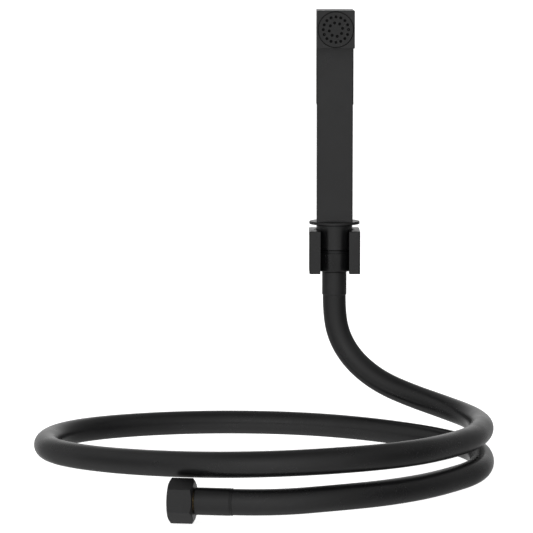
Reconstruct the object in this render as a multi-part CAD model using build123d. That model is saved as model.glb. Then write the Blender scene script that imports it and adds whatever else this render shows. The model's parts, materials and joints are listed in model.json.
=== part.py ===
from build123d import *
import math
import os

# Wall-held handheld shower head: square stick handset, socket bracket, and a hose
# that ends in a hexagon nut. All sizes are in millimetres.
# The origin is the centre of the bracket's wall face: +Z is up and +Y goes into the wall.

os.makedirs("parts", exist_ok=True)

# ---------------------------------------------------------------- driving dimensions
AXIS_Y = -17.5            # the handset's axis, this far in front of the wall
BRACKET_WIDTH = 35.0
BRACKET_DEPTH = 35.0
BRACKET_HEIGHT = 29.5
SLOT_WIDTH = 19.8         # passes the hose and its ferrule
LEDGE_Z = -8.5            # the shelf inside the bracket, under its liner
BORE_RADIUS = 13.95
LEDGE_RADIUS = 12.1
PLATE_WIDTH = 30.0
PLATE_HEIGHT = 24.0
PLATE_THICKNESS = 2.2
SCREW_SPACING = 24.0
SCREW_RADIUS = 1.9        # over the thread, which starts just inside the wall
SCREW_NECK_RADIUS = 1.5   # the plain neck that passes through the plate

FLANGE_DIAMETER = 35.0
FLANGE_BOTTOM_Z = 18.7
FLANGE_TOP_Z = 20.7
COLLAR_RADIUS = 12.5      # the connector's cylinder below the flange
COLLAR_BOTTOM_Z = 1.1
CONE_TOP_Z = 0.8
CONE_BOTTOM_Z = -14.0
CONE_TOP_RADIUS = 12.4
CONE_BOTTOM_RADIUS = 11.3
THREAD_MAJOR_RADIUS = 10.35
NUT_THREAD_RADIUS = 10.45

HANDLE_SIDE = 24.75
HANDLE_WALL = 1.7
HOUSING_FOOT_Z = 101.6    # where the slim handle meets the wider head housing
HOUSING_WIDTH = 25.45
HEAD_SIDE = 25.9
HEAD_TOP_Z = 166.9
HEAD_FRONT_Y = -51.9
HEAD_Z = HEAD_TOP_Z - HEAD_SIDE / 2
FACE_RADIUS = 12.0
FACE_GAP = 0.4            # the shadow line round the spray face
OUTER_NOZZLES = 16
OUTER_NOZZLE_RING = 8.6
INNER_NOZZLES = 8
INNER_NOZZLE_RING = 4.6
TOOL_MARK_RING = 6.7

HOSE_RADIUS = 8.0
HOSE_BORE_RADIUS = 5.6
LINER_RADIUS = 5.35
LINER_BORE_RADIUS = 4.3
FERRULE_RADIUS = 8.5
HOSE_TOP_Z = -30.6        # the upper ferrule ends here
FERRULE_TOP_Z = -14.3
LOWER_FERRULE_LENGTH = 23.4
NUT_FLATS = 24.0
NUT_LENGTH = 15.5
NUT_TURN = 8.0            # degrees that the hexagon is turned about its own axis
NUT_BORE_RADIUS = 9.4     # over the crests of the inside thread
NUT_RELIEF_RADIUS = 10.0  # the plain relief behind the thread, round the washer
NUT_RELIEF_LENGTH = 3.9

GRUB_Z = 30.0
POPPET_Z = 29.3           # underside of the closed check-valve disc

# The hose's route: straight down out of the handset, forward to the right, then one and
# a half turns of about 285 mm across, down to the hexagon nut at the front.
ROUTE = [
    (0, -17.5, -30.6),
    (0, -17.5, -42),
    (2.5, -18.5, -57.5),
    (9.5, -21, -71),
    (20, -26, -82),
    (34, -33, -91),
    (52, -43, -97.6),
    (73, -62, -102.6),
    (92, -98, -105),
    (96.4, -150, -104.4),
    (79, -222, -102),
    (31, -308, -97),
    (-64, -327, -99.5),
    (-149, -268, -106),
    (-196.5, -183, -111.5),
    (-182, -79, -116),
    (-97, -27, -118),
    (2, -38, -118.5),
    (92, -98, -122.6),
    (95.4, -188, -124),
    (61, -254, -122.7),
    (29, -297, -120.6),
    (-3, -316, -120.4),
    (-43, -324, -122.3),
    (-67, -320.5, -122.3),
]


# ---------------------------------------------------------------- helpers
def box(x, y, z):
    """A box given by its low and high limits on each axis."""
    size = (x[1] - x[0], y[1] - y[0], z[1] - z[0])
    centre = ((x[0] + x[1]) / 2, (y[0] + y[1]) / 2, (z[0] + z[1]) / 2)
    return Pos(*centre) * Box(*size)


def upright(radius, z_low, z_high, x=0.0, y=AXIS_Y):
    """A vertical cylinder between two heights, on the handset's axis by default."""
    return Pos(x, y, (z_low + z_high) / 2) * Cylinder(radius, z_high - z_low)


def turned(profile, place=Pos(0, AXIS_Y, 0)):
    """A solid turned from a closed outline of (radius, height) points."""
    points = [(r, 0, h) for r, h in profile]
    face = make_face(Polyline(*points, close=True))
    return place * revolve(face, Axis.Z)


def ring(r_in, r_out, z_low, z_high, place=Pos(0, AXIS_Y, 0)):
    """A plain ring with a rectangular section."""
    return turned([(r_in, z_low), (r_out, z_low), (r_out, z_high), (r_in, z_high)], place)


def facing_front(x, z, y_front):
    """A place whose local +Z points to the front (-Y), at the given front plane."""
    return Location(Plane(origin=(x, y_front, z), x_dir=(1, 0, 0), z_dir=(0, -1, 0)))


def around(count, radius, start_degrees):
    """Points evenly spaced on a circle of the spray face, as (x, z) from its centre."""
    for i in range(count):
        angle = math.radians(start_degrees + 360 * i / count)
        yield radius * math.cos(angle), radius * math.sin(angle)


def save(shape, name):
    export_step(shape, f"parts/{name}.step")


# ---------------------------------------------------------------- bracket
def slot_cutter():
    half = SLOT_WIDTH / 2
    return box((-half, half), (-BRACKET_DEPTH - 1, AXIS_Y), (-20, 20))


def bracket_body():
    half_w, half_h = BRACKET_WIDTH / 2, BRACKET_HEIGHT / 2
    body = box((-half_w, half_w), (-BRACKET_DEPTH, 0), (-half_h, half_h))
    body = fillet(body.edges().filter_by(Axis.Z), 1.4)
    body = body - upright(BORE_RADIUS, LEDGE_Z, half_h + 1)
    body = body - upright(LEDGE_RADIUS, -half_h - 1, LEDGE_Z + 1)
    body = body - slot_cutter()
    rims = body.faces().sort_by(Axis.Z)[-1].edges() + body.faces().sort_by(Axis.Z)[0].edges()
    body = chamfer(rims, 0.35)
    plate_pocket = box((-15.2, 15.2), (-PLATE_THICKNESS - 0.2, 1), (-12.2, 12.2))
    body = body - plate_pocket
    for side in (-1, 1):
        head = Pos(side * SCREW_SPACING / 2, -2.3, 0) * Rot(90, 0, 0) * Cylinder(3.9, 4.8)
        body = body - head
    body = body - box((-4.3, 4.3), (-6.1, -1), (-12.2, -9.2))
    return body - upright(1.55, -half_h - 1, -11.5, 0, -4.2)


def bracket_liner():
    outer = BORE_RADIUS - 0.1
    profile = [
        (LEDGE_RADIUS + 0.3, LEDGE_Z + 0.05),
        (outer, LEDGE_Z + 0.05),
        (outer, 14.2),
        (outer - 0.4, 14.6),
        (COLLAR_RADIUS + 0.5, 14.6),
        (COLLAR_RADIUS + 0.35, 13.8),
        (COLLAR_RADIUS + 0.3, CONE_TOP_Z - 2),
    ]
    return turned(profile) - slot_cutter()


def wall_plate():
    half_w, half_h = PLATE_WIDTH / 2, PLATE_HEIGHT / 2
    plate = box((-half_w, half_w), (-PLATE_THICKNESS, 0), (-half_h, half_h))
    plate = fillet(plate.edges().filter_by(Axis.Y), 2.0)
    plate = plate + box((-4, 4), (-5.8, -1), (-11.5, -9.6))
    for side in (-1, 1):
        hole = Pos(side * SCREW_SPACING / 2, 0, 0) * Rot(90, 0, 0) * Cylinder(SCREW_RADIUS + 0.2, 10)
        plate = plate - hole
    return plate


def wall_screws():
    profile = [(0, -22.0), (0.3, -22.0), (SCREW_RADIUS, -18.5), (SCREW_RADIUS, -0.6)]
    profile += [(SCREW_NECK_RADIUS, -0.2), (SCREW_NECK_RADIUS, 2.2)]
    profile += [(3.6, 2.2), (3.6, 3.2), (2.9, 4.1), (0, 4.3)]
    screws = []
    for side in (-1, 1):
        place = facing_front(side * SCREW_SPACING / 2, 0, 0)
        screw = turned(profile, Pos(0, 0, 0))
        screw = screw - Pos(0, 0, 4.0) * Box(3.6, 0.8, 1.6) - Pos(0, 0, 4.0) * Box(0.8, 3.6, 1.6)
        screws.append(place * screw)
    return Compound(children=screws)


def set_screw():
    screw = upright(1.45, -14.6, -11.7, 0, -4.2)
    socket = Pos(0, -4.2, -14.7) * extrude(RegularPolygon(0.75, 6), 1.6)
    return screw - socket


# ---------------------------------------------------------------- handset body
def handle_shell():
    half = HANDLE_SIDE / 2
    z_low, z_high = FLANGE_TOP_Z + 0.1, HOUSING_FOOT_Z - 0.1
    outer = Pos(0, AXIS_Y, (z_low + z_high) / 2) * Box(HANDLE_SIDE, HANDLE_SIDE, z_high - z_low)
    outer = fillet(outer.edges().filter_by(Axis.Z), 0.9)
    outer = chamfer(outer.edges().group_by(Axis.Z)[-1].filter_by(Axis.X), 0.2)
    room = HANDLE_SIDE - 2 * HANDLE_WALL
    inner = Pos(0, AXIS_Y, (z_low + z_high) / 2) * Box(room, room, z_high - z_low + 2)
    front = AXIS_Y - half
    tongue = box((-half + 0.5, half - 0.5), (front, front + HANDLE_WALL), (z_high - 1, HEAD_Z - 13.2))
    grub_hole = Pos(0, AXIS_Y + half, GRUB_Z) * Rot(90, 0, 0) * Cylinder(1.55, 6)
    return (outer - inner) + tongue - grub_hole


def head_housing():
    half = HOUSING_WIDTH / 2
    front = AXIS_Y - HANDLE_SIDE / 2
    back = AXIS_Y + HANDLE_SIDE / 2 + 0.35
    shell = box((-half, half), (front, back), (HOUSING_FOOT_Z, HEAD_TOP_Z))
    shell = fillet(shell.edges().filter_by(Axis.Z), 0.9)
    shell = chamfer(shell.edges().group_by(Axis.Z)[0], 0.3)
    shell = fillet(shell.edges().group_by(Axis.Z)[-1], 0.5)
    room = box((-11, 11), (front + 1.8, back - 1.7), (HOUSING_FOOT_Z - 1, HEAD_TOP_Z - 1.8))
    tongue_half = HANDLE_SIDE / 2 - 0.45
    tongue_room = box((-tongue_half, tongue_half), (front - 1, front + 1.85), (100, HEAD_Z - 13.1))
    water_way = Pos(0, front, HEAD_Z) * Rot(90, 0, 0) * Cylinder(6.3, 12)
    housing = shell - room - tongue_room - water_way
    for side in (-1, 1):
        housing = housing - Pos(side * 8.8, front, HEAD_Z) * Rot(90, 0, 0) * Cylinder(1.1, 8)
    return housing


def head_block():
    half = HEAD_SIDE / 2
    rear = AXIS_Y - HANDLE_SIDE / 2 - 0.05
    block = box((-half, half), (HEAD_FRONT_Y, rear), (HEAD_Z - half, HEAD_Z + half))
    block = fillet(block.edges().filter_by(Axis.Y), 0.6)
    block = fillet(block.faces().sort_by(Axis.Y)[0].edges(), 0.5)
    seat = facing_front(0, HEAD_Z, HEAD_FRONT_Y)
    block = block - seat * Pos(0, 0, -1.2) * Cylinder(FACE_RADIUS + FACE_GAP, 7)
    block = block - seat * Pos(0, 0, -7) * Cylinder(10.6, 14)
    block = block - seat * Pos(0, 0, -12) * Cylinder(6.3, 24)
    for side in (-1, 1):
        pilot = Pos(side * 8.8, rear, HEAD_Z) * Rot(90, 0, 0) * Cylinder(0.85, 12)
        block = block - pilot
    return block


def spray_face():
    place = facing_front(0, HEAD_Z, HEAD_FRONT_Y)
    edge = FACE_RADIUS
    disc = turned([(0, -2.0), (edge, -2.0), (edge, -0.1), (edge - 0.35, 0.25), (0, 0.25)], Pos(0, 0, 0))
    for x, z in around(OUTER_NOZZLES, OUTER_NOZZLE_RING, 90):
        disc = disc - Pos(x, z, -1) * Cylinder(1.0, 4)
    for x, z in around(INNER_NOZZLES, INNER_NOZZLE_RING, 101):
        disc = disc - Pos(x, z, -1) * Cylinder(1.0, 4)
    for x, z in around(4, TOOL_MARK_RING, 104):
        disc = disc - Pos(x, z, 0.25) * Cylinder(0.45, 0.5)
    return place * disc


def nozzle_plate():
    place = facing_front(0, HEAD_Z, HEAD_FRONT_Y)
    plate = Pos(0, 0, -2.8) * Cylinder(11.6, 1.4)
    rings = [(OUTER_NOZZLES, OUTER_NOZZLE_RING, 90), (INNER_NOZZLES, INNER_NOZZLE_RING, 101)]
    for count, radius, start in rings:
        for x, z in around(count, radius, start):
            plate = plate + Pos(x, z, -0.95) * Cone(0.92, 0.68, 2.7)
    for count, radius, start in rings:
        for x, z in around(count, radius, start):
            plate = plate - Pos(x, z, -1.5) * Cylinder(0.3, 6)
    return place * plate


def diffuser_plate():
    place = facing_front(0, HEAD_Z, HEAD_FRONT_Y)
    plate = Pos(0, 0, -5.6) * Cylinder(10.4, 1.6)
    for x, z in around(8, 7.2, 0):
        plate = plate - Pos(x, z, -5.6) * Cylinder(1.3, 4)
    return place * (plate + Pos(0, 0, -7.2) * Cylinder(3.0, 1.8))


def face_o_ring():
    place = facing_front(0, HEAD_Z, HEAD_FRONT_Y)
    return place * Pos(0, 0, -4.1) * Torus(11.3, 0.55)


def head_manifold():
    rear = AXIS_Y - HANDLE_SIDE / 2
    riser = upright(6.6, HEAD_Z - 12, HEAD_Z + 7.5)
    nose = Pos(0, (AXIS_Y + rear - 5) / 2, HEAD_Z) * Rot(90, 0, 0) * Cylinder(6.0, AXIS_Y - rear + 5)
    riser_bore = upright(5.1, HEAD_Z - 13, HEAD_Z - 4) + upright(3.6, HEAD_Z - 13, HEAD_Z + 3.6)
    riser_bore = riser_bore + upright(5.7, HEAD_Z - 10.4, HEAD_Z - 9.6)
    nose_bore = Pos(0, (AXIS_Y + rear - 6) / 2, HEAD_Z) * Rot(90, 0, 0) * Cylinder(3.6, AXIS_Y - rear + 6)
    ring_room = Pos(0, rear - 2.5, HEAD_Z) * Rot(90, 0, 0) * (Cylinder(7, 0.9) - Cylinder(5.4, 0.9))
    return riser + nose - riser_bore - nose_bore - ring_room


def manifold_o_ring():
    rear = AXIS_Y - HANDLE_SIDE / 2
    return Pos(0, rear - 2.5, HEAD_Z) * Rot(90, 0, 0) * Torus(5.85, 0.4)


def block_screws():
    rear = AXIS_Y - HANDLE_SIDE / 2
    profile = [(0, -5.0), (0.75, -5.0), (0.75, 1.9), (1.9, 1.9), (1.9, 3.1), (0, 3.1)]
    screws = []
    for side in (-1, 1):
        place = Pos(side * 8.8, rear, HEAD_Z) * Rot(-90, 0, 0)
        screws.append(place * turned(profile, Pos(0, 0, 0)))
    return Compound(children=screws)


def water_tube():
    return ring(3.7, 5.0, 38.4, HEAD_Z - 4.1)


def tube_o_rings():
    rings = [Pos(0, AXIS_Y, z) * Torus(5.35, 0.3) for z in (40.5, HEAD_Z - 10)]
    return Compound(children=rings)


def inlet_connector():
    """Flange, collar and threaded spigot in one piece, with a socket for the check valve."""
    flange_radius = FLANGE_DIAMETER / 2
    profile = [
        (4.6, -7.0),
        (9.6, -7.0),
        (THREAD_MAJOR_RADIUS, -6.2),
        (THREAD_MAJOR_RADIUS, COLLAR_BOTTOM_Z),
        (COLLAR_RADIUS - 0.4, COLLAR_BOTTOM_Z),
        (COLLAR_RADIUS, COLLAR_BOTTOM_Z + 0.4),
        (COLLAR_RADIUS, FLANGE_BOTTOM_Z - 0.9),
        (COLLAR_RADIUS - 0.7, FLANGE_BOTTOM_Z - 0.7),
        (COLLAR_RADIUS - 0.7, FLANGE_BOTTOM_Z),
        (flange_radius - 0.3, FLANGE_BOTTOM_Z),
        (flange_radius, FLANGE_BOTTOM_Z + 0.3),
        (flange_radius, FLANGE_TOP_Z - 0.4),
        (flange_radius - 0.4, FLANGE_TOP_Z),
        (10.2, FLANGE_TOP_Z),
        (10.2, 46.0),
        (5.8, 46.0),
        (5.8, 38.2),
        (7.2, 38.2),
        (7.2, 22.0),
        (4.6, 22.0),
    ]
    screen_seat = upright(7.2, -8.0, -3.4)
    return turned(profile) - screen_seat


def handle_grub_screw():
    """The grub screw in the handle's back wall, which holds the handle on the connector."""
    back = AXIS_Y + HANDLE_SIDE / 2
    screw = Pos(0, back - 1.15, GRUB_Z) * Rot(90, 0, 0) * Cylinder(1.45, 1.9)
    socket = Pos(0, back, GRUB_Z) * Rot(90, 0, 0) * extrude(RegularPolygon(0.8, 6), 1.0)
    return screw - socket


def inlet_filter():
    disc = ring(0.4, 7.1, -6.9, -6.1)
    for count, radius in ((6, 2.2), (12, 4.6)):
        for x, y in around(count, radius, 0):
            disc = disc - upright(0.55, -8, -5, x, AXIS_Y + y)
    return disc


def flow_regulator():
    disc = ring(1.0, 7.1, -6.0, -3.6)
    for x, y in around(6, 4.2, 0):
        disc = disc - upright(1.0, -7, -2, x, AXIS_Y + y)
    return disc


def check_valve_body():
    seat_z = POPPET_Z - 0.1
    profile = [
        (3.2, 22.2),
        (7.1, 22.2),
        (7.1, 38.0),
        (5.2, 38.0),
        (5.2, seat_z),
        (3.2, seat_z),
    ]
    cage = turned(profile)
    bridge = box((-5.25, 5.25), (AXIS_Y - 0.8, AXIS_Y + 0.8), (35.0, 37.0))
    hub = upright(2.0, 35.0, 37.0)
    return cage + bridge + hub - upright(1.05, 34, 38)


def check_valve_poppet():
    profile = [
        (0, POPPET_Z),
        (4.3, POPPET_Z),
        (4.3, POPPET_Z + 0.9),
        (1.5, POPPET_Z + 0.9),
        (1.0, POPPET_Z + 1.5),
        (1.0, 37.6),
        (0, 37.6),
    ]
    return turned(profile)


def check_valve_spring():
    low, high = POPPET_Z + 1.25, 34.7
    turns = 4
    path = Helix((high - low) / turns, high - low, 2.6)
    path = Pos(0, AXIS_Y, low) * path
    wire = Plane(origin=path @ 0, z_dir=path % 0) * Circle(0.22)
    return sweep(wire, path)


def inlet_washer():
    return ring(5.0, 9.3, -8.95, -7.05)


def cone_nut():
    """The hose's swivel nut: it screws onto the handset and sits in the bracket."""
    profile = [
        (8.06, CONE_BOTTOM_Z),
        (CONE_BOTTOM_RADIUS - 0.4, CONE_BOTTOM_Z),
        (CONE_BOTTOM_RADIUS, CONE_BOTTOM_Z + 0.6),
        (CONE_TOP_RADIUS, CONE_TOP_Z - 2.1),
        (CONE_TOP_RADIUS - 0.3, CONE_TOP_Z - 1.9),
        (CONE_TOP_RADIUS - 0.3, CONE_TOP_Z - 1.7),
        (CONE_TOP_RADIUS, CONE_TOP_Z - 1.5),
        (CONE_TOP_RADIUS - 0.7, CONE_TOP_Z),
        (NUT_THREAD_RADIUS, CONE_TOP_Z),
        (NUT_THREAD_RADIUS, -11.6),
        (8.06, -11.6),
    ]
    return turned(profile)


# ---------------------------------------------------------------- hose
def hose_path():
    """Straight runs with the largest tangent arcs that they allow."""
    points = [Vector(*p) for p in ROUTE]
    runs = [b - a for a, b in zip(points, points[1:])]
    radii = []
    for before, after in zip(runs, runs[1:]):
        half_turn = math.radians(before.get_angle(after)) / 2
        radii.append(0.45 * min(before.length, after.length) / math.tan(half_turn))
    return FilletPolyline(*points, radius=radii), radii, runs


def hose_layer(path, r_out, r_in):
    start = Plane(origin=ROUTE[0], z_dir=(0, 0, -1))
    return sweep(start * (Circle(r_out) - Circle(r_in)), path)


def upper_tail():
    profile = [
        (3.2, -9.0),
        (9.3, -9.0),
        (9.3, -10.8),
        (HOSE_RADIUS, -10.8),
        (HOSE_RADIUS, FERRULE_TOP_Z + 0.05),
        (4.2, FERRULE_TOP_Z + 0.05),
        (4.2, HOSE_TOP_Z - 5.5),
        (3.8, HOSE_TOP_Z - 6.5),
        (3.2, HOSE_TOP_Z - 6.5),
    ]
    return turned(profile)


def swivel_washer():
    """The slip washer in the cone nut, on which the handset turns about the hose."""
    return ring(8.1, 10.0, -11.5, -10.9)


def upper_ferrule():
    r, top, low = FERRULE_RADIUS, FERRULE_TOP_Z, HOSE_TOP_Z + 0.02
    profile = [(4.25, low), (r - 0.3, low), (r, low + 0.5), (r, top - 0.4), (r - 0.4, top), (4.25, top)]
    return turned(profile)


def lower_end_place():
    """Local +Z along the hose's last run, with local +X pointing up."""
    before, end = Vector(*ROUTE[-2]), Vector(*ROUTE[-1])
    return Location(Plane(origin=end, x_dir=(0, 0, 1), z_dir=end - before))


def lower_ferrule():
    r, length = FERRULE_RADIUS - 0.15, LOWER_FERRULE_LENGTH
    profile = [(4.25, 0.02), (r - 0.3, 0.02), (r, 0.5), (r, 0.9), (r - 0.2, 1.1), (r - 0.2, 1.5), (r, 1.7)]
    profile += [(r, length - 0.5), (r - 0.3, length), (4.25, length)]
    return turned(profile, lower_end_place())


def lower_tail():
    end = LOWER_FERRULE_LENGTH
    profile = [(3.2, -6.5), (3.8, -6.5), (4.2, -5.5), (4.2, end + 0.05), (6.95, end + 0.05)]
    profile += [(6.95, end + 2.7), (9.1, end + 2.7), (9.1, end + 4.4), (3.2, end + 4.4)]
    return turned(profile, lower_end_place())


def hex_nut():
    start = LOWER_FERRULE_LENGTH + 0.3
    corner_radius = NUT_FLATS / math.sqrt(3)
    blank = extrude(RegularPolygon(corner_radius, 6), NUT_LENGTH)
    blank = Pos(0, 0, start) * Rot(0, 0, NUT_TURN) * blank
    edge = NUT_FLATS / 2 - 0.4
    envelope = [(0, start), (edge, start), (corner_radius + 0.1, start + 1.3)]
    envelope += [(corner_radius + 0.1, start + NUT_LENGTH - 1.3), (edge, start + NUT_LENGTH)]
    envelope += [(0, start + NUT_LENGTH)]
    blank = blank & turned(envelope, Pos(0, 0, 0))
    blank = blank - Pos(0, 0, start) * Cylinder(7.0, 10)
    seat = start + 2.35
    thread = ring(0, NUT_BORE_RADIUS, seat + 1, start + NUT_LENGTH + 1, Pos(0, 0, 0))
    relief = ring(0, NUT_RELIEF_RADIUS, seat, seat + NUT_RELIEF_LENGTH, Pos(0, 0, 0))
    return lower_end_place() * (blank - thread - relief)


def hose_washer():
    end = LOWER_FERRULE_LENGTH
    return ring(5.0, 9.2, end + 4.45, end + 6.4, lower_end_place())


# ---------------------------------------------------------------- build
PARTS = {
    "bracket_body": bracket_body,
    "bracket_liner": bracket_liner,
    "wall_plate": wall_plate,
    "wall_screws": wall_screws,
    "bracket_set_screw": set_screw,
    "handle_shell": handle_shell,
    "head_housing": head_housing,
    "head_block": head_block,
    "spray_face": spray_face,
    "nozzle_plate": nozzle_plate,
    "diffuser_plate": diffuser_plate,
    "face_o_ring": face_o_ring,
    "head_manifold": head_manifold,
    "manifold_o_ring": manifold_o_ring,
    "head_block_screws": block_screws,
    "water_tube": water_tube,
    "tube_o_rings": tube_o_rings,
    "inlet_connector": inlet_connector,
    "handle_grub_screw": handle_grub_screw,
    "inlet_filter": inlet_filter,
    "flow_regulator": flow_regulator,
    "check_valve_body": check_valve_body,
    "check_valve_poppet": check_valve_poppet,
    "check_valve_spring": check_valve_spring,
    "inlet_washer": inlet_washer,
    "cone_nut": cone_nut,
    "upper_hose_tail": upper_tail,
    "swivel_washer": swivel_washer,
    "upper_ferrule": upper_ferrule,
    "lower_ferrule": lower_ferrule,
    "lower_hose_tail": lower_tail,
    "hex_nut": hex_nut,
    "hose_washer": hose_washer,
}

for name, make in PARTS.items():
    save(make(), name)

path, radii, runs = hose_path()
hose_cover = hose_layer(path, HOSE_RADIUS, HOSE_BORE_RADIUS)
hose_liner = hose_layer(path, LINER_RADIUS, LINER_BORE_RADIUS)
save(hose_cover, "hose_cover")
save(hose_liner, "hose_liner")

section = math.pi * (HOSE_RADIUS**2 - HOSE_BORE_RADIUS**2)
print("runs", [round(run.length, 1) for run in runs])
print("radii", [round(radius, 1) for radius in radii])
print("hose length", round(path.length, 1))
print("volume ratio", round(hose_cover.volume / (section * path.length), 5))
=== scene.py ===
import json
import math

import bpy
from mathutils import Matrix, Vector


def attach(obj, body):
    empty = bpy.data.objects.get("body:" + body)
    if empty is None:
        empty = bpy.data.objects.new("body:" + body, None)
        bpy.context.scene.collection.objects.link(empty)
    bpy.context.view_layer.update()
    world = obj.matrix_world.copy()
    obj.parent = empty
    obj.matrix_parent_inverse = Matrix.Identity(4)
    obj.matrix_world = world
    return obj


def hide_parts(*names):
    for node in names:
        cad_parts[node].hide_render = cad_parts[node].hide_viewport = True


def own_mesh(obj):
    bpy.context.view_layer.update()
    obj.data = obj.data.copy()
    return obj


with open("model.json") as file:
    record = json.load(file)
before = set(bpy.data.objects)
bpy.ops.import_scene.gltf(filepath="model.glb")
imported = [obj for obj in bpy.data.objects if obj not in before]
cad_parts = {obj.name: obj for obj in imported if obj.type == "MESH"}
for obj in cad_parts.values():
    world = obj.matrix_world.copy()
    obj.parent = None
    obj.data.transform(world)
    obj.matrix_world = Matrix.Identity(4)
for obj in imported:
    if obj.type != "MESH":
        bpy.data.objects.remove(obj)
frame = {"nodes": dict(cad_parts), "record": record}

# A matte black handheld shower: square stick handset, slotted wall bracket, and a smooth
# hose that ends in a hexagon nut. Lengths are in metres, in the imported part's own frame.

FLOOR_Z = -0.1360          # the hexagon nut's lowest corner stands on the floor

HOSE_RADIUS = 0.008
HOSE_ROUTE = [
    (0.0000, -0.0175, -0.0306), (0.0000, -0.0175, -0.0420), (0.0025, -0.0185, -0.0575),
    (0.0095, -0.0210, -0.0710), (0.0200, -0.0260, -0.0820), (0.0340, -0.0330, -0.0910),
    (0.0520, -0.0430, -0.0976), (0.0730, -0.0620, -0.1026), (0.0920, -0.0980, -0.1050),
    (0.0964, -0.1500, -0.1044), (0.0790, -0.2220, -0.1020), (0.0310, -0.3080, -0.0970),
    (-0.0640, -0.3270, -0.0995), (-0.1490, -0.2680, -0.1060), (-0.1965, -0.1830, -0.1115),
    (-0.1820, -0.0790, -0.1160), (-0.0970, -0.0270, -0.1180), (0.0020, -0.0380, -0.1185),
    (0.0920, -0.0980, -0.1226), (0.0954, -0.1880, -0.1240), (0.0610, -0.2540, -0.1227),
    (0.0290, -0.2970, -0.1206), (-0.0030, -0.3160, -0.1204), (-0.0430, -0.3240, -0.1223),
    (-0.0670, -0.3205, -0.1223),
]

NUT_AXIS_POINT = (-0.067, -0.3205, -0.1223)
NUT_AXIS = (-0.989533, 0.144307, 0.0)
THREAD_PITCH = 0.001814    # G1/2, 14 threads to the inch
THREAD_DEPTH = 0.0005
THREAD_FADE = (0.00945, 0.00965)        # the ridges die out between these radii

CAMERA_PLACE = (-0.04706, -2.22638, 0.22099)
CAMERA_TILT = 84.0         # degrees up from straight down
CAMERA_LENS = 216.1        # millimetres, for the sensor's width below
CAMERA_SENSOR = 36.0
CAMERA_RANGE = (0.05, 200.0)

FLOOR_REACH = 12.0         # the flat floor's radius
FLOOR_BEND = 4.0           # the radius of the curve from floor to backdrop
BACKDROP_TOP = 14.0
FLOOR_SIDES = 96
FLOOR_BEND_STEPS = 12
FLOOR_GLOW = 0.80

SOFTBOX_PLACE = (-1.2, -5.0, 1.6)
SOFTBOX_TARGET = (0, -0.1, 0)
SOFTBOX_SIZE = (2.4, 2.0)
SOFTBOX_POWER = 2.0

STUDIO_STRENGTH = 0.87
# The studio's brightness by direction: left to right, down to up, and front to back.
ACROSS = [(-1.0, 0.34), (-0.95, 0.48), (-0.90, 0.62), (-0.70, 0.82), (-0.30, 0.97), (0.0, 1.0),
          (0.25, 0.88), (0.50, 0.69), (0.76, 0.43), (0.94, 0.22), (1.0, 0.15)]
UPWARD = [(-1.0, 0.78), (-0.80, 0.80), (-0.50, 0.92), (-0.20, 1.0), (0.30, 1.0),
          (0.60, 0.90), (0.78, 0.70), (0.89, 0.51), (0.96, 0.34), (1.0, 0.27)]
BACKWARD = [(-1.0, 1.0), (0.0, 0.95), (0.20, 0.84), (0.44, 0.58), (0.72, 0.33),
            (0.86, 0.34), (0.94, 0.68), (1.0, 1.0)]


# ---------------------------------------------------------------- node helpers
def add(tree, kind, inputs=None, **settings):
    """One shader node, with its properties and unlinked inputs set."""
    made = tree.nodes.new(kind)
    for name, value in settings.items():
        setattr(made, name, value)
    for name, value in (inputs or {}).items():
        made.inputs[name].default_value = value
    return made


def noise(tree, coordinates, scale, detail=3.0, roughness=0.5):
    inputs = {"Scale": scale, "Detail": detail, "Roughness": roughness}
    made = add(tree, "ShaderNodeTexNoise", inputs)
    tree.links.new(coordinates, made.inputs["Vector"])
    return made.outputs["Fac"]


def stretched(tree, coordinates, scale):
    """The coordinates scaled by axis, for grain that runs one way."""
    made = add(tree, "ShaderNodeMapping", {"Scale": scale})
    tree.links.new(coordinates, made.inputs["Vector"])
    return made.outputs["Vector"]


def between(tree, value, low, high, start=0.3, end=0.7):
    """The value's middle range, spread from low to high."""
    inputs = {"From Min": start, "From Max": end, "To Min": low, "To Max": high}
    made = add(tree, "ShaderNodeMapRange", inputs, interpolation_type="SMOOTHSTEP")
    tree.links.new(value, made.inputs["Value"])
    return made.outputs["Result"]


def colours(tree, value, dark, light):
    made = add(tree, "ShaderNodeValToRGB")
    made.color_ramp.elements[0].position = 0.3
    made.color_ramp.elements[1].position = 0.7
    made.color_ramp.elements[0].color = (*dark, 1.0)
    made.color_ramp.elements[1].color = (*light, 1.0)
    tree.links.new(value, made.inputs["Fac"])
    return made.outputs["Color"]


def bump(tree, height, depth, strength=1.0, under=None):
    """A bump of that depth in metres, laid over another one if there is one."""
    made = add(tree, "ShaderNodeBump", {"Strength": strength, "Distance": depth})
    tree.links.new(height, made.inputs["Height"])
    if under is not None:
        tree.links.new(under, made.inputs["Normal"])
    return made.outputs["Normal"]


def blank_material(name):
    """An empty material's tree, its shader and its object coordinates."""
    material = bpy.data.materials.new(name)
    material.use_nodes = True
    tree = material.node_tree
    shader = tree.nodes["Principled BSDF"]
    place = add(tree, "ShaderNodeTexCoord").outputs["Object"]
    return material, tree, shader, place


def surface(tree, shader, colour, roughness, normal):
    tree.links.new(colour, shader.inputs["Base Color"])
    tree.links.new(roughness, shader.inputs["Roughness"])
    tree.links.new(normal, shader.inputs["Normal"])


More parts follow.
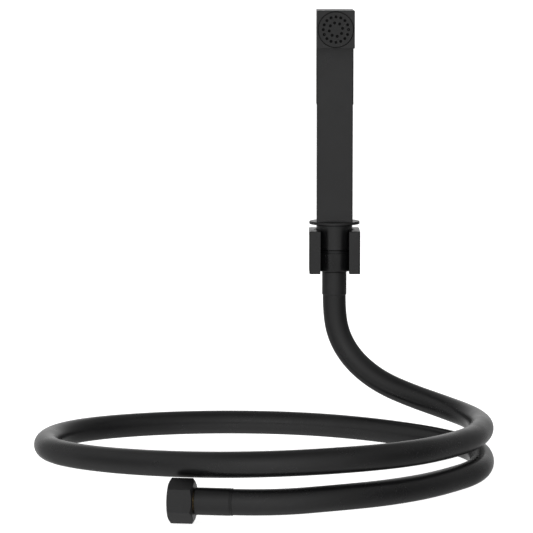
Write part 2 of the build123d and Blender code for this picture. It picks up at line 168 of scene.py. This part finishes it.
# ---------------------------------------------------------------- materials
def coated_metal(name="black_metal", rough=(0.27, 0.33)):
    """Matte black coating on brass: a fine even grain, with faint changes of sheen."""
    material, tree, shader, place = blank_material(name)
    shader.inputs["IOR"].default_value = 1.49
    tint = colours(tree, noise(tree, place, 55), (0.0028, 0.0028, 0.0030), (0.0046, 0.0046, 0.0049))
    sheen = between(tree, noise(tree, place, 38, detail=5), rough[0], rough[1])
    soft = bump(tree, noise(tree, place, 900), 0.000004, 0.5)
    grain = bump(tree, noise(tree, place, 3400, detail=1), 0.0000022, 0.6, soft)
    surface(tree, shader, tint, sheen, grain)
    return material


def threaded_metal():
    """The nut's coating, with the inside thread as ridges round the nut's own axis."""
    material = coated_metal("black_metal_nut")
    tree = material.node_tree
    shader = tree.nodes["Principled BSDF"]
    place = next(n for n in tree.nodes if n.type == "TEX_COORD").outputs["Object"]
    offset = add(tree, "ShaderNodeVectorMath", {1: NUT_AXIS_POINT}, operation="SUBTRACT")
    tree.links.new(place, offset.inputs[0])
    along = add(tree, "ShaderNodeVectorMath", {1: NUT_AXIS}, operation="DOT_PRODUCT")
    tree.links.new(offset.outputs["Vector"], along.inputs[0])
    nearest = add(tree, "ShaderNodeVectorMath", {0: NUT_AXIS}, operation="SCALE")
    tree.links.new(along.outputs["Value"], nearest.inputs["Scale"])
    outward = add(tree, "ShaderNodeVectorMath", operation="DISTANCE")
    tree.links.new(offset.outputs["Vector"], outward.inputs[0])
    tree.links.new(nearest.outputs["Vector"], outward.inputs[1])
    turns = add(tree, "ShaderNodeMath", {1: 2 * math.pi / THREAD_PITCH}, operation="MULTIPLY")
    tree.links.new(along.outputs["Value"], turns.inputs[0])
    ridge = add(tree, "ShaderNodeMath", operation="SINE")
    tree.links.new(turns.outputs["Value"], ridge.inputs[0])
    inside = between(tree, outward.outputs["Value"], 1.0, 0.0, *THREAD_FADE)
    height = add(tree, "ShaderNodeMath", operation="MULTIPLY")
    tree.links.new(ridge.outputs["Value"], height.inputs[0])
    tree.links.new(inside, height.inputs[1])
    under = shader.inputs["Normal"].links[0].from_socket
    ridges = bump(tree, height.outputs["Value"], THREAD_DEPTH, 1.0, under)
    tree.links.new(ridges, shader.inputs["Normal"])
    return material


def moulded_plastic(name, dark, light, rough, depth=0.000006):
    """Moulded plastic with a spark-eroded texture and faint flow marks."""
    material, tree, shader, place = blank_material(name)
    shader.inputs["IOR"].default_value = 1.47
    tint = colours(tree, noise(tree, place, 70, detail=4), dark, light)
    sheen = between(tree, noise(tree, place, 90), rough[0], rough[1])
    flow = bump(tree, noise(tree, stretched(tree, place, (1, 1, 0.2)), 260), depth, 0.4)
    grain = bump(tree, noise(tree, place, 2600, detail=2), depth, 0.5, flow)
    surface(tree, shader, tint, sheen, grain)
    return material


def hose_plastic():
    """Smooth satin PVC: faint waviness from extrusion, and a soft mottled sheen."""
    material, tree, shader, place = blank_material("black_hose")
    shader.inputs["IOR"].default_value = 1.49
    mottle = noise(tree, place, 26, detail=5)
    tint = colours(tree, mottle, (0.0030, 0.0030, 0.0032), (0.0052, 0.0052, 0.0055))
    sheen = between(tree, noise(tree, place, 48, detail=4), 0.26, 0.33)
    wave = bump(tree, noise(tree, place, 120, detail=2), 0.00002, 0.25)
    skin = bump(tree, noise(tree, place, 2100, detail=2), 0.000003, 0.5, wave)
    surface(tree, shader, tint, sheen, skin)
    return material


def rubber(name, dark, light, rough, glare=0.5):
    material, tree, shader, place = blank_material(name)
    shader.inputs["IOR"].default_value = 1.45
    shader.inputs["Specular IOR Level"].default_value = glare
    tint = colours(tree, noise(tree, place, 210, detail=5), dark, light)
    sheen = between(tree, noise(tree, place, 420), rough[0], rough[1])
    skin = bump(tree, noise(tree, place, 1700, detail=4), 0.000008, 0.6)
    surface(tree, shader, tint, sheen, skin)
    return material


def turned_metal(name, dark, light, rough, grain_axes):
    """Bare metal with fine tool lines, and patches of duller surface."""
    material, tree, shader, place = blank_material(name)
    shader.inputs["Metallic"].default_value = 1.0
    tint = colours(tree, noise(tree, place, 160, detail=6), dark, light)
    sheen = between(tree, noise(tree, place, 130, detail=4), rough[0], rough[1])
    drawn_out = stretched(tree, place, grain_axes)
    lines = bump(tree, noise(tree, drawn_out, 700, detail=2), 0.000012, 0.6)
    surface(tree, shader, tint, sheen, lines)
    return material


def slot_materials():
    return {
        "black_metal": coated_metal(),
        "black_plastic": moulded_plastic(
            "black_plastic", (0.0028, 0.0028, 0.003), (0.0048, 0.0048, 0.005), (0.30, 0.38)),
        "white_plastic": moulded_plastic(
            "white_plastic", (0.70, 0.70, 0.66), (0.80, 0.80, 0.77), (0.34, 0.44)),
        "rubber": rubber("rubber", (0.008, 0.008, 0.008), (0.016, 0.016, 0.017), (0.55, 0.70)),
        "silicone": rubber(
            "silicone", (0.0012, 0.0012, 0.0013), (0.0030, 0.0030, 0.0032), (0.50, 0.62), 0.15),
        "steel": turned_metal(
            "steel", (0.42, 0.42, 0.43), (0.60, 0.60, 0.61), (0.24, 0.36), (1, 1, 9)),
        "brass": turned_metal(
            "brass", (0.56, 0.38, 0.15), (0.78, 0.58, 0.28), (0.22, 0.34), (1, 1, 12)),
    }


# ---------------------------------------------------------------- pieces
def make_hose(material):
    """One smooth curve along the hose's route, from the upper ferrule to the lower one."""
    curve = bpy.data.curves.new("hose", "CURVE")
    curve.dimensions = "3D"
    curve.resolution_u = 20
    curve.bevel_depth = HOSE_RADIUS
    curve.bevel_resolution = 12
    curve.use_fill_caps = True
    line = curve.splines.new("NURBS")
    line.points.add(len(HOSE_ROUTE) - 1)
    for point, place in zip(line.points, HOSE_ROUTE):
        point.co = (*place, 1.0)
    line.order_u = 3
    line.use_endpoint_u = True
    curve.materials.append(material)
    hose = bpy.data.objects.new("hose", curve)
    bpy.context.scene.collection.objects.link(hose)
    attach(hose, "hose")
    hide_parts("hose_cover", "hose_liner")


def dress_nodes(materials):
    """Each carried-over node that shows takes its record slot's material."""
    nut_material = threaded_metal()
    for row in frame["record"]["subparts"]:
        piece = frame["nodes"][row["node"]]
        if piece.hide_render:
            continue
        is_nut = row["node"] == "hex_nut"
        piece.data.materials.clear()
        piece.data.materials.append(nut_material if is_nut else materials[row["material_slot"]])


def press_spring():
    """The check valve's spring gets its own copy of its mesh."""
    spring = frame["nodes"]["check_valve_spring"]
    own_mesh(spring)


# ---------------------------------------------------------------- studio
def make_camera():
    camera = bpy.data.objects.new("camera", bpy.data.cameras.new("camera"))
    camera.data.lens = CAMERA_LENS
    camera.data.sensor_width = CAMERA_SENSOR
    camera.data.clip_start, camera.data.clip_end = CAMERA_RANGE
    camera.location = CAMERA_PLACE
    camera.rotation_euler = (math.radians(CAMERA_TILT), 0, 0)
    bpy.context.scene.collection.objects.link(camera)
    bpy.context.scene.camera = camera


def falloff(tree, component, stops):
    """Brightness by one component of the direction, from -1 to 1, through the given stops."""
    place = add(tree, "ShaderNodeMapRange", {"From Min": -1.0, "From Max": 1.0})
    tree.links.new(component, place.inputs["Value"])
    made = add(tree, "ShaderNodeValToRGB")
    ramp = made.color_ramp
    while len(ramp.elements) < len(stops):
        ramp.elements.new(0.5)
    for element, (value, brightness) in zip(ramp.elements, stops):
        element.position = (value + 1) / 2
        element.color = (brightness, brightness, brightness, 1.0)
    tree.links.new(place.outputs["Result"], made.inputs["Fac"])
    return made.outputs["Color"]


def make_surroundings():
    """A studio that is bright in front and low behind, and dimmer at the sides and overhead."""
    world = bpy.data.worlds.new("studio")
    world.use_nodes = True
    bpy.context.scene.world = world
    tree = world.node_tree
    axes = add(tree, "ShaderNodeSeparateXYZ")
    tree.links.new(add(tree, "ShaderNodeTexCoord").outputs["Generated"], axes.inputs["Vector"])
    across = falloff(tree, axes.outputs["X"], ACROSS)
    upward = falloff(tree, axes.outputs["Z"], UPWARD)
    back = falloff(tree, axes.outputs["Y"], BACKWARD)
    sides = add(tree, "ShaderNodeVectorMath", operation="MULTIPLY")
    tree.links.new(across, sides.inputs[0])
    tree.links.new(upward, sides.inputs[1])
    whole = add(tree, "ShaderNodeVectorMath", operation="MULTIPLY")
    tree.links.new(sides.outputs["Vector"], whole.inputs[0])
    tree.links.new(back, whole.inputs[1])
    sky = tree.nodes["Background"]
    tree.links.new(whole.outputs["Vector"], sky.inputs["Color"])
    sky.inputs["Strength"].default_value = STUDIO_STRENGTH


def make_floor():
    """A pale studio sweep: a flat floor whose rim curves up into the backdrop all round."""
    profile = [(0.0, 0.0), (FLOOR_REACH, 0.0)]
    for i in range(1, FLOOR_BEND_STEPS + 1):
        angle = math.radians(90 * i / FLOOR_BEND_STEPS)
        reach = FLOOR_REACH + FLOOR_BEND * math.sin(angle)
        profile.append((reach, FLOOR_BEND - FLOOR_BEND * math.cos(angle)))
    profile.append((FLOOR_REACH + FLOOR_BEND, BACKDROP_TOP))
    sides = FLOOR_SIDES
    points = [(0.0, 0.0, FLOOR_Z)]
    faces = []
    for reach, height in profile[1:]:
        for k in range(sides):
            turn = 2 * math.pi * k / sides
            points.append((reach * math.cos(turn), reach * math.sin(turn), FLOOR_Z + height))
    faces += [(0, 1 + k, 1 + (k + 1) % sides) for k in range(sides)]
    for row in range(len(profile) - 2):
        low, high = 1 + row * sides, 1 + (row + 1) * sides
        for k in range(sides):
            after = (k + 1) % sides
            faces.append((low + k, high + k, high + after, low + after))
    mesh = bpy.data.meshes.new("floor")
    mesh.from_pydata(points, [], faces)
    mesh.polygons.foreach_set("use_smooth", [True] * len(mesh.polygons))
    material, tree, shader, place = blank_material("pale_floor")
    shader.inputs["Emission Strength"].default_value = FLOOR_GLOW
    shader.inputs["Emission Color"].default_value = (1, 1, 1, 1)
    shader.inputs["Specular IOR Level"].default_value = 0.0
    tint = colours(tree, noise(tree, place, 3), (0.60, 0.60, 0.60), (0.64, 0.64, 0.64))
    sheen = between(tree, noise(tree, place, 6), 0.75, 0.85)
    surface(tree, shader, tint, sheen, bump(tree, noise(tree, place, 400), 0.00002, 0.2))
    mesh.materials.append(material)
    floor = bpy.data.objects.new("floor", mesh)
    floor.visible_glossy = False
    floor.visible_shadow = False
    bpy.context.scene.collection.objects.link(floor)


def make_softbox(name, place, target, size, power):
    lamp = bpy.data.lights.new(name, "AREA")
    lamp.shape = "RECTANGLE"
    lamp.size, lamp.size_y = size
    lamp.energy = power
    softbox = bpy.data.objects.new(name, lamp)
    softbox.location = place
    aim = [t - p for t, p in zip(target, place)]
    softbox.rotation_euler = Vector(aim).to_track_quat("-Z", "Y").to_euler()
    softbox.visible_camera = False
    bpy.context.scene.collection.objects.link(softbox)


def set_picture():
    view = bpy.context.scene.view_settings
    view.view_transform = "Standard"
    view.look = "None"
    view.exposure = 0.0
    view.gamma = 1.0


# ---------------------------------------------------------------- build
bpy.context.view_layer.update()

make_camera()
make_hose(hose_plastic())
dress_nodes(slot_materials())
press_spring()
make_surroundings()
make_floor()
make_softbox("front_softbox", SOFTBOX_PLACE, SOFTBOX_TARGET, SOFTBOX_SIZE, SOFTBOX_POWER)
set_picture()
